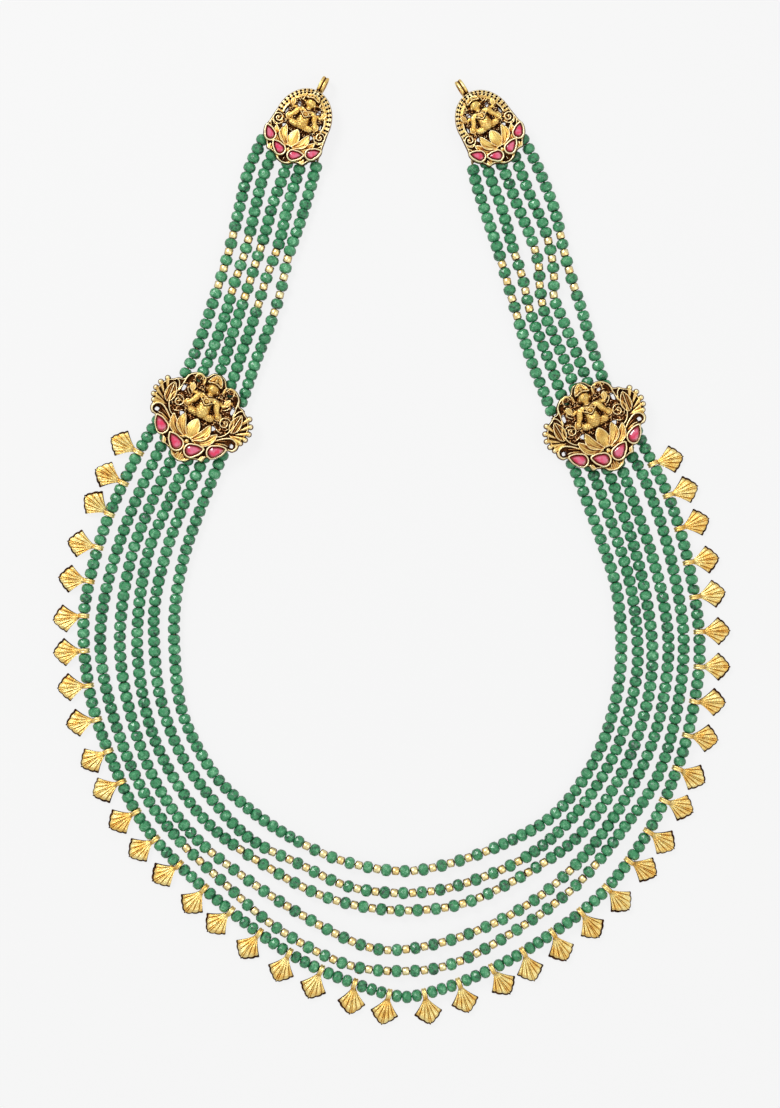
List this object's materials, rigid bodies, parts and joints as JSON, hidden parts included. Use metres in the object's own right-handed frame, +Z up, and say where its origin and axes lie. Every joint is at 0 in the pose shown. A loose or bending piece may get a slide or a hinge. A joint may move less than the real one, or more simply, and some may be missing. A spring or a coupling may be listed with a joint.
{
  "type": "temple necklace",
  "caption": "Long temple-style necklace laid flat and open at the top: strings of green beads, cast gold plaques and medallions with pink stones, and an outer row of fan drops.",
  "frame": {"origin": "middle of the bounding box at its base, on the surface that the necklace lies on", "axes": "+Z up out of the surface, the fronts of the cast pieces face +Z; +Y from the lowest drop to the end rings; +X to the right as seen from above"},
  "size_m": [0.2172, 0.3037, 0.0074],
  "materials": {
    "green_beads": "polished facets, mottled green",
    "bright_gold": "warm gold, satin, darker in the hollows",
    "antique_gold": "antique gold, polished on the high spots and dark brown in the ground",
    "pink_stone": "polished, foil-backed",
    "thread": "matt"
  },
  "bodies": {
    "root": {"end_ring_left": "bright_gold", "end_ring_right": "bright_gold", "end_plaque_left": "antique_gold", "end_plaque_right": "antique_gold", "side_medallion_left": "antique_gold", "side_medallion_right": "antique_gold", "plaque_stone_left_1": "pink_stone", "plaque_stone_left_2": "pink_stone", "plaque_stone_left_3": "pink_stone", "plaque_stone_left_4": "pink_stone", "plaque_stone_right_1": "pink_stone", "plaque_stone_right_2": "pink_stone", "plaque_stone_right_3": "pink_stone", "plaque_stone_right_4": "pink_stone", "medallion_stone_left_1": "pink_stone", "medallion_stone_left_2": "pink_stone", "medallion_stone_left_3": "pink_stone", "medallion_stone_left_4": "pink_stone", "medallion_stone_right_1": "pink_stone", "medallion_stone_right_2": "pink_stone", "medallion_stone_right_3": "pink_stone", "medallion_stone_right_4": "pink_stone", "upper_string_left_1": "green_beads", "upper_string_left_2": "green_beads", "upper_string_left_3": "green_beads", "upper_string_left_4": "green_beads", "upper_string_left_5": "green_beads", "upper_string_right_1": "green_beads", "upper_string_right_2": "green_beads", "upper_string_right_3": "green_beads", "upper_string_right_4": "green_beads", "upper_string_right_5": "green_beads", "lower_string_1": "green_beads", "lower_string_2": "green_beads", "lower_string_3": "green_beads", "lower_string_4": "green_beads", "lower_string_5": "green_beads", "outer_beads": "green_beads", "outer_thread": "thread", "fan_drops_left": "bright_gold", "fan_drops_right": "bright_gold"}
  },
  "joints": []
}
